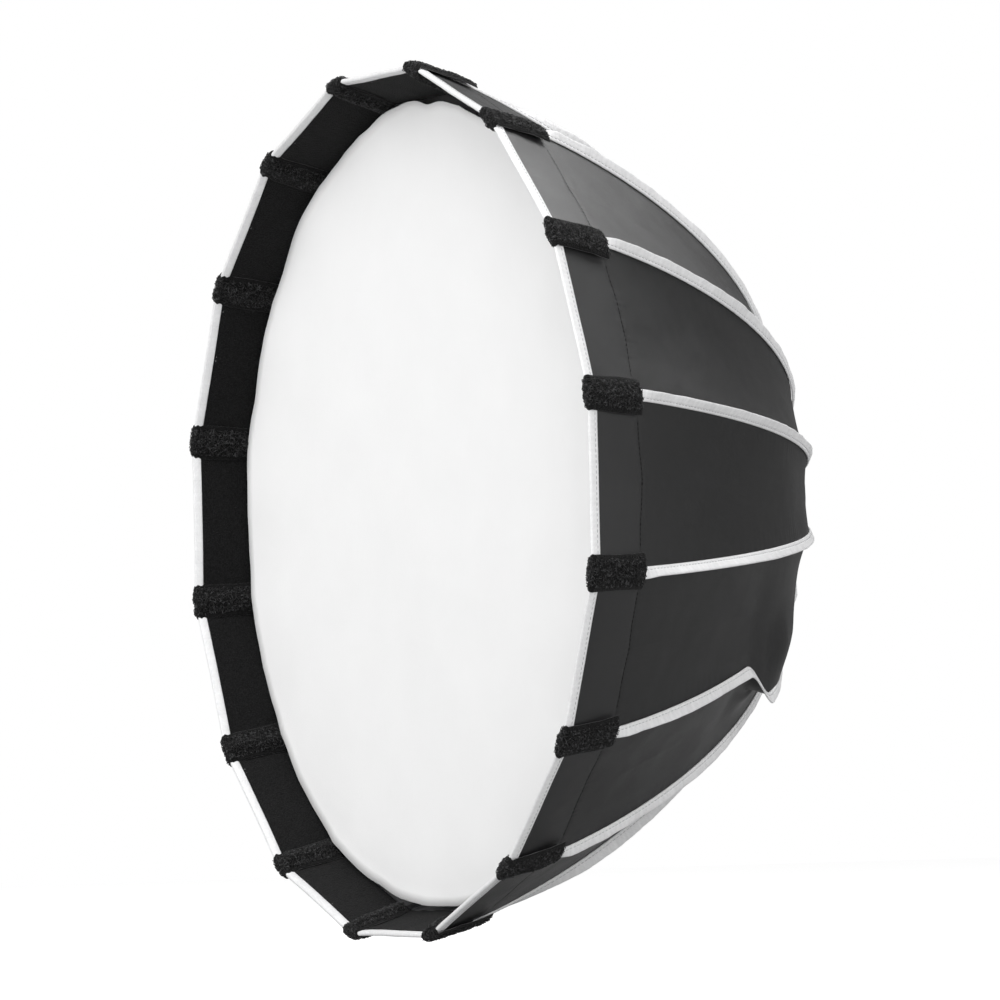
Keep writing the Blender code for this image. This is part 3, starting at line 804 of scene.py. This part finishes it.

# The strap's second colour is the painted highlight on its curls' tips.
tab_weave = loop_material(
    "tab_backing", (0.0015, 0.0015, 0.0016), (0.007, 0.007, 0.0073), 0.0006, 0.05, 1000.0)
curl_nylon, tree, shader = new_material("loop_curls", (0.013, 0.013, 0.0135), 0.6)
# Noise scatters light flecks over the curls: painted glints, while the yarn itself stays near black.
painted_glint = noise_node(tree, object_coordinates(tree), 480.0, 2.0)
painted_glint = map_range(tree, painted_glint, 0.50, 0.62)
feed(tree, shader, {"Base Color": mix_colour(tree, painted_glint, (0.0008, 0.0008, 0.0009), (0.05, 0.05, 0.052))})
# The strap's woven edge is real, but its light grey is painted highlight: the light that edge catches.
lit_selvedge = woven_material(
    "tab_selvedge_painted_highlight", (0.05, 0.05, 0.051), (0.11, 0.11, 0.112), 0.6, 0.1, 1800.0, 0.0001, 0.4)


def tab_path():
    """The strap's centre line over the rim as (radius, y), its outward normals and its lengths."""
    def spots_at(lengths, out, more):
        radius, y, out_r, out_y = rib_curve(lengths)
        lift = out * MM + more[0] * MM * smooth(*more[1:], lengths)
        return list(zip(radius + out_r * lift, y + out_y * lift))

    spots = spots_at(np.linspace(TAB_OUT, 3 * MM, 20), 1.2, (1.1, 18 * MM, TAPE_START - 2 * MM))
    radius, y, out_r, out_y = rib_curve(0.0)
    outward = np.array([out_r, out_y])
    forward = np.array([out_y, -out_r])
    # The turn over the rim runs from 1.2 mm outside the cloth to 5.9 mm inside it.
    middle, half = np.array([radius, y]) - outward * 2.35 * MM, 3.55 * MM
    for turn in np.linspace(0.12, math.pi - 0.12, 9):
        spots.append(tuple(middle + outward * half * math.cos(turn) + forward * 0.2 * MM * math.sin(turn)))
    spots = np.array(spots + spots_at(np.linspace(4 * MM, TAB_IN, 18), -5.9, (-2.1, 2 * MM, 12 * MM)))
    walk = np.concatenate([[0], np.cumsum(np.linalg.norm(np.diff(spots, axis=0), axis=1))])
    even = np.linspace(0, walk[-1], 96)
    spots = np.stack([np.interp(even, walk, spots[:, 0]), np.interp(even, walk, spots[:, 1])], 1)
    for _ in range(3):
        spots[1:-1] = (spots[:-2] + 2 * spots[1:-1] + spots[2:]) / 4
    direction = np.gradient(spots, axis=0)
    direction /= np.linalg.norm(direction, axis=1, keepdims=True)
    normal = np.stack([-direction[:, 1], direction[:, 0]], 1)
    return spots, normal * np.sign(normal[0, 0]), even


def curl_nodes():
    """Tiny open loops of yarn, scattered over a face and stood up at random, from a fixed seed."""
    tree, start, end = new_group(
        "loop_pile",
        [("Geometry", "Geometry", None), ("Loops per square metre", "Float", 1.0),
         ("Loop Size", "Float", 1.0 * MM), ("Seed", "Int", None), ("Material", "Material", None)],
        [("Geometry", "Geometry")], "GeometryNodeTree")
    given = start.outputs
    scatter = add_node(tree, "GeometryNodeDistributePointsOnFaces", {
        "Mesh": given["Geometry"], "Density": given["Loops per square metre"], "Seed": given["Seed"]})
    loop = add_node(tree, "GeometryNodeCurveArc", {
        "Resolution": 5, "Radius": 0.55, "Sweep Angle": math.radians(290)})
    stand = add_node(tree, "GeometryNodeTransform", {
        "Geometry": loop.outputs["Curve"], "Rotation": (math.pi / 2, math.radians(125), 0)})
    yarn = add_node(tree, "GeometryNodeCurvePrimitiveCircle", {"Resolution": 3, "Radius": 0.13})
    tube = add_node(tree, "GeometryNodeCurveToMesh", {
        "Curve": stand.outputs[0], "Profile Curve": yarn.outputs["Curve"], "Fill Caps": True})
    spin = add_node(tree, "FunctionNodeRandomValue", {
        "Min": (-0.7, -0.7, -3.14), "Max": (0.7, 0.7, 3.14), "Seed": given["Seed"]}, data_type="FLOAT_VECTOR")
    as_turn = add_node(tree, "FunctionNodeEulerToRotation", {"Euler": spin.outputs["Value"]})
    turned = add_node(tree, "FunctionNodeRotateRotation", {
        "Rotation": scatter.outputs["Rotation"], "Rotate By": as_turn.outputs[0]}, rotation_space="LOCAL")
    grow = add_node(tree, "FunctionNodeRandomValue", {"Min": 0.5, "Max": 1.25}, data_type="FLOAT")
    copies = add_node(tree, "GeometryNodeInstanceOnPoints", {
        "Points": scatter.outputs["Points"], "Instance": tube.outputs[0], "Rotation": turned.outputs[0],
        "Scale": math_node(tree, "MULTIPLY", grow.outputs[1], given["Loop Size"])})
    real = add_node(tree, "GeometryNodeRealizeInstances", {0: copies.outputs[0]})
    return painted(tree, end, real, given)


curl_tree = curl_nodes()
spots, normal, walk = tab_path()
side = np.linspace(-1, 1, 27)
PILE_COLUMNS = slice(3, 24)
FOLDED_OVER = TAB_OUT + 3 * MM
outside = smooth(FOLDED_OVER + 1 * MM, FOLDED_OVER - 7 * MM, walk)[:, None]
inside = smooth(FOLDED_OVER + 1 * MM, FOLDED_OVER + 8 * MM, walk)[:, None]
thick = TAB_THICK * (1 - 0.75 * np.abs(side[None, :]) ** 8)

for rib, number in enumerate(RIB_NUMBERS):
    radial, around = rib_axes(rib)
    reach = side[None, :] * (TAB_WIDTH / 2) * (1 + 0.03 * np.sin(walk / (9 * MM) + rib)[:, None])
    reach = reach + 0.03 * math.sin(rib * 2.7) * (walk - 45 * MM)[:, None]
    drape = (np.sqrt(reach ** 2 + (3 * MM) ** 2) - 3 * MM) * 0.2
    # Outside, the strap drapes over the ridge; inside it crosses the corner, humped over the rod's end.
    push = -drape * outside + (drape - 4.2 * MM * (1 - np.exp(-(reach / (6 * MM)) ** 2))) * inside
    roll = 0.35 * MM * np.array([[noise.noise(Vector((w * 90, x * 160, rib * 5.0))) for x in row]
                                 for w, row in zip(walk, reach)])
    centre, normal3 = (pair[:, 0][:, None, None] * radial + pair[:, 1][:, None, None] * AXIAL
                       for pair in (spots, normal))
    base = centre + around * reach[..., None] + normal3 * push[..., None]
    top = base + normal3 * (thick + roll)[..., None]
    uv = np.stack(np.broadcast_arrays(reach, walk[:, None]), -1)
    tab = cloth_object("tab_" + number, top, base, uv, [tab_weave, lit_selvedge], edge_slot=1)
    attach(tab, "rib_" + number)
    bed = bpy.data.meshes.new("bed")
    rows = top[:, PILE_COLUMNS]
    bed.from_pydata(rows.reshape(-1, 3).tolist(), [], grid_quads(*rows.shape[:2]))
    if bed.polygons[0].normal.dot(Vector(normal3[0, 0])) < 0:
        bed.flip_normals()
    area = sum(face.area for face in bed.polygons)
    pile = grow_on(add_object("tab_pile_" + number, bed), curl_tree, {
        "Loops per square metre": CURLS_PER_TAB / area, "Loop Size": CURL_SIZE, "Seed": rib,
        "Material": curl_nylon})
    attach(pile, "rib_" + number)

# Front diffuser: white translucent cloth, stretched across the dish 40 mm behind the rim and gripped at
# its edge by the loop band. It comes off forwards.
DIFFUSER_Y = -DEPTH + 40 * MM
DIFFUSER_RADIUS = 280.5 * MM
DIFFUSER_TILT = 2.3 * MM
diffuser_cloth = woven_material(
    "diffuser_cloth", (0.78, 0.78, 0.78), (0.82, 0.82, 0.82), 0.85, 0.05, 2600.0, 0.00003, 0.25, 0.2)

# Where the cloth was pressed on further out or in: (degrees round, half width in degrees, millimetres).
EDGE_BUMPS = [(74, 8, -7.0), (88, 2.5, -3.5), (95, 7, 2.5), (134, 5, 2.0), (167, 5, 2.2), (187, 6, 1.6),
              (206, 6, 1.8), (258, 16, -2.0)]


def diffuser_edge(angle):
    """The diffuser's radius at an angle: sixteen soft corners, and a little wavy."""
    from_rib = angle % STEP - STEP / 2
    side = abs(from_rib) / (STEP / 2)
    straight = math.cos(STEP / 2) / math.cos(STEP / 2 - abs(from_rib))
    shape = 0.45 * straight + 0.55 * (0.987 - 0.004 * math.cos(TAU * side / 2))
    wave = 1.0 * noise.noise(Vector((math.cos(angle) * 5, math.sin(angle) * 5, 1.5)))
    wave += sum(height * math.exp(-((math.degrees(angle) - centre) / width) ** 2)
                for centre, width, height in EDGE_BUMPS)
    wave += 0.9 * noise.noise(Vector((math.cos(angle) * 17, math.sin(angle) * 17, 7.5)))
    return DIFFUSER_RADIUS * shape + wave * MM


def disc_of_cloth(name, edge, y, dome, thickness, rings, turns, tilt=0.0, ruffle=0.8 * MM):
    """A round cloth with a turned edge and slow ripples, its outer face forwards."""
    angles = np.linspace(0, TAU, turns, endpoint=False)
    radii = np.array([edge(a) for a in angles])
    shares = np.concatenate([[0.0], np.linspace(0.06, 1, rings)])
    front = [Vector((0, y - dome - tilt, 0))]
    for share in shares[1:]:
        for angle, radius in zip(angles, radii):
            lift = dome * (1 - share ** 2)
            pull = ruffle * share ** 6 * math.sin(angle * RIB_COUNT) + ruffle * 0.6 * noise.noise(
                Vector((math.cos(angle) * share * 4, math.sin(angle) * share * 4, 0.3)))
            hem = 1.0 * MM * max(0.0, (share - 0.985) / 0.015) ** 2
            lean = tilt * (1 - share * math.cos(angle))
            front.append(Vector((math.cos(angle) * radius * share, y - lift + pull - hem - lean,
                                 math.sin(angle) * radius * share)))
    count = len(front)
    points = front + [p + Vector((0, thickness, 0)) for p in front]
    faces = []
    for k in range(turns):
        a, b = 1 + k, 1 + (k + 1) % turns
        faces += [(0, a, b), (count, count + b, count + a)]
        for _ in range(rings - 1):
            c, d = b + turns, a + turns
            faces += [(a, d, c, b), (count + a, count + b, count + c, count + d)]
            a, b = d, c
        faces.append((a, count + a, count + b, b))
    mesh = bpy.data.meshes.new(name)
    mesh.from_pydata([tuple(p) for p in points], [], faces)
    layer = mesh.uv_layers.new(name="cloth")
    for corner in mesh.loops:
        place = mesh.vertices[corner.vertex_index].co
        layer.data[corner.index].uv = (place.x, place.z)
    smooth_shaded(mesh, [diffuser_cloth])
    face_outwards(mesh)
    return add_object(name, mesh)


front_cloth = disc_of_cloth("front_diffuser_cloth", diffuser_edge, DIFFUSER_Y, 2 * MM, 0.8 * MM, 40, 320,
                            DIFFUSER_TILT)
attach(front_cloth, "front_diffuser")
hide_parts("front_diffuser")

# Inner diffuser: a smaller white cloth half way down the dish.
inner_cloth = disc_of_cloth("inner_diffuser_cloth", lambda angle: 176 * MM, -DEPTH + 155.5 * MM, 1 * MM,
                            0.7 * MM, 16, 160)
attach(inner_cloth, "inner_diffuser")
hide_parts("inner_diffuser")

# Stage: a pale sweep under the box, which hangs from its light mount with its rim just clear of it.
floor_mesh = bpy.data.meshes.new("floor")
FLOOR_Z = -0.335
corners = ((-5, -5), (5, -5), (5, 5), (-5, 5))
floor_mesh.from_pydata([(x, y, FLOOR_Z) for x, y in corners], [], [(0, 1, 2, 3)])
floor = add_object("floor", floor_mesh)
floor_paint, tree, shader = new_material(
    "floor_paint", (0.37, 0.37, 0.37), 0.85, {"Emission Color": (1, 1, 1)})
seen = tree.nodes.new("ShaderNodeLightPath").outputs["Is Camera Ray"]
feed(tree, shader, {"Emission Strength": math_node(tree, "MULTIPLY", seen, 0.85)})
floor_mesh.materials.append(floor_paint)

world = bpy.data.worlds.new("studio")
bpy.context.scene.world = world
world.use_nodes = True
tree = world.node_tree
seen = tree.nodes.new("ShaderNodeLightPath").outputs["Is Camera Ray"]
brightness = add_node(tree, "ShaderNodeMapRange", {"Value": seen, "To Min": 0.25, "To Max": 1.0})
feed(tree, tree.nodes["Background"], {"Strength": brightness.outputs[0], "Color": (1, 1, 1)})
bpy.context.scene.view_settings.view_transform = "Standard"

# Each lamp: name, place, how far forward it aims along the axis, size and power.
for name, place, aim_y, size, power in (
    ("overhead", (0.6, -1.3, 2.4), -0.15, 2.4, 44),
    ("overhead_back", (-0.3, 1.8, 2.5), -0.15, 1.6, 46),
    ("front_left", (-0.8, -4.2, 1.3), -0.2, 3.0, 118),
    ("camera_side", (3.6, -0.8, 0.6), -0.15, 2.0, 68),
    ("back_right", (2.6, 2.5, 0.2), -0.15, 1.6, 18),
):
    lamp = bpy.data.lights.new(name, "AREA")
    lamp.shape = "SQUARE"
    lamp.size = size
    lamp.energy = power
    obj = add_object(name, lamp)
    obj.location = place
    obj.rotation_euler = (Vector((0, aim_y, 0)) - Vector(place)).to_track_quat("-Z", "Y").to_euler()

# Camera: a long lens, a little below the axis and turned well round to the side of the box.
CAMERA_AZIMUTH = math.radians(62.678)
CAMERA_ELEVATION = math.radians(-2.332)
CAMERA_ROLL = math.radians(-1.163)
CAMERA_DISTANCE = 4.5857
rim_centre = Vector((0, -DEPTH, 0))
back = Vector((math.sin(CAMERA_AZIMUTH) * math.cos(CAMERA_ELEVATION),
               -math.cos(CAMERA_AZIMUTH) * math.cos(CAMERA_ELEVATION), math.sin(CAMERA_ELEVATION)))
level = (-back).cross(Vector((0, 0, 1))).normalized()
above = level.cross(-back)
right = level * math.cos(CAMERA_ROLL) + above * math.sin(CAMERA_ROLL)
up = above * math.cos(CAMERA_ROLL) - level * math.sin(CAMERA_ROLL)
stand = rim_centre + back * CAMERA_DISTANCE
aim = rim_centre + right * 0.0808 + up * 0.0024
back = (stand - aim).normalized()
right = (right - back * right.dot(back)).normalized()
up = back.cross(right)
lens = bpy.data.cameras.new("camera")
lens.sensor_width = 36
lens.lens = 241.96
camera = add_object("camera", lens)
camera.matrix_world = Matrix((
    (right.x, up.x, back.x, stand.x), (right.y, up.y, back.y, stand.y),
    (right.z, up.z, back.z, stand.z), (0, 0, 0, 1)))
bpy.context.scene.camera = camera
